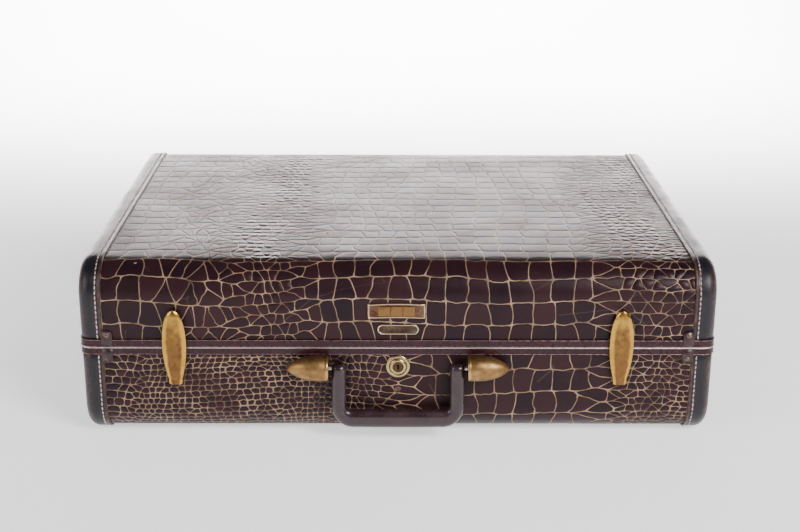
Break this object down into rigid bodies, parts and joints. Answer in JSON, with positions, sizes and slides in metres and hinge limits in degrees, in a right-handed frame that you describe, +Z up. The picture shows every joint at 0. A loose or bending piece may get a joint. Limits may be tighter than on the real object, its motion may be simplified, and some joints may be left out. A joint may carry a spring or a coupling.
{
  "type": "hard shell suitcase",
  "caption": "Hard-shell travelling case with crocodile-embossed cover, leather-bound ends, metal rims, two draw latches, key lock and bail handle; the lid opens on rear hinges.",
  "frame": {"origin": "on the ground under the middle of the whole object, case lying flat", "axes": "+X along the case to the right seen from the handle side, -Y towards the handle side, +Z up"},
  "size_m": [0.6118, 0.4863, 0.177],
  "materials": {
    "plywood": "bent and butted plywood, unfinished",
    "crocodile_vinyl": "glossy dark aubergine embossed cover with tan creases",
    "binding_leather": "smooth black-brown leather, polished and scuffed at the edges",
    "maroon_enamel": "maroon enamelled rim with bare bright edges",
    "clip_enamel": "maroon enamelled clip",
    "aged_brass": "brass with brown patina and bright rubbed edges",
    "copper_plate": "coppery plate with a dull surface",
    "plated_steel": "nickel-plated steel, dulled",
    "handle_leather": "moulded maroon handle with a soft sheen",
    "lining_cloth": "tan satin-weave lining, glued to the boards",
    "pocket_cloth": "gathered satin-weave pocket",
    "strap_webbing": "woven packing strap"
  },
  "bodies": {
    "base": {"base_binding_left": "binding_leather", "base_binding_right": "binding_leather", "base_clip_rivets": "aged_brass", "base_corner_clips": "clip_enamel", "base_cover": "crocodile_vinyl", "base_end_board_left": "plywood", "base_end_board_right": "plywood", "base_end_cover_left": "crocodile_vinyl", "base_end_cover_right": "crocodile_vinyl", "base_feet": "aged_brass", "base_hinge_leaves": "aged_brass", "base_hinge_rivets": "aged_brass", "base_lining": "lining_cloth", "base_rim": "maroon_enamel", "base_wrap_board": "plywood", "handle_pin_left": "plated_steel", "handle_pin_right": "plated_steel", "handle_post_left": "aged_brass", "handle_post_right": "aged_brass", "hinge_pins": "plated_steel", "latch_pin_left": "plated_steel", "latch_pin_right": "plated_steel", "latch_plate_left": "aged_brass", "latch_plate_right": "aged_brass", "lock_housing": "plated_steel", "lock_rivet": "plated_steel", "lock_rosette": "aged_brass", "packing_strap_left": "strap_webbing", "packing_strap_right": "strap_webbing", "strap_buckles": "plated_steel"},
    "lid": {"latch_keeper_left": "aged_brass", "latch_keeper_right": "aged_brass", "lid_binding_left": "binding_leather", "lid_binding_right": "binding_leather", "lid_clip_rivets": "aged_brass", "lid_corner_clips": "clip_enamel", "lid_cover": "crocodile_vinyl", "lid_end_board_left": "plywood", "lid_end_board_right": "plywood", "lid_end_cover_left": "crocodile_vinyl", "lid_end_cover_right": "crocodile_vinyl", "lid_feet": "aged_brass", "lid_hinge_leaves": "aged_brass", "lid_hinge_rivets": "aged_brass", "lid_lining": "lining_cloth", "lid_pocket": "pocket_cloth", "lid_rim": "maroon_enamel", "lid_wrap_board": "plywood", "lock_keeper": "plated_steel", "maker_plate": "aged_brass", "monogram_frame": "copper_plate", "monogram_tiles": "copper_plate", "plate_pins": "aged_brass"},
    "latch_lever_left": {"latch_lever_left": "aged_brass", "latch_rivet_left": "aged_brass"},
    "latch_lever_right": {"latch_lever_right": "aged_brass", "latch_rivet_right": "aged_brass"},
    "handle": {"handle": "handle_leather"},
    "lock_plug": {"lock_plug": "plated_steel"},
    "lock_bolt": {"lock_bolt": "plated_steel"}
  },
  "joints": [
    {"name": "lid_hinge", "type": "hinge", "parent": "base", "child": "lid", "pos_m": [0, 0.2401, 0.095], "axis": [-1, 0, 0], "range_deg": [0, 100]},
    {"name": "latch_left_swing", "type": "hinge", "parent": "base", "child": "latch_lever_left", "pos_m": [-0.2142, -0.2242, 0.0595], "axis": [1, 0, 0], "range_deg": [0, 100]},
    {"name": "latch_right_swing", "type": "hinge", "parent": "base", "child": "latch_lever_right", "pos_m": [0.2142, -0.2242, 0.0595], "axis": [1, 0, 0], "range_deg": [0, 100]},
    {"name": "handle_swing", "type": "hinge", "parent": "base", "child": "handle", "pos_m": [0, -0.2307, 0.077], "axis": [-1, 0, 0], "range_deg": [0, 165]},
    {"name": "lock_turn", "type": "hinge", "parent": "base", "child": "lock_plug", "pos_m": [0, -0.2212, 0.0748], "axis": [0, -1, 0], "range_deg": [0, 90]},
    {"name": "bolt_rise", "type": "slide", "parent": "base", "child": "lock_bolt", "axis": [0, 0, 1], "range_m": [0, 0.01]}
  ],
  "couplings": [
    {"joint": "bolt_rise", "follows": "lock_turn", "m_per_rad": 0.006303}
  ]
}
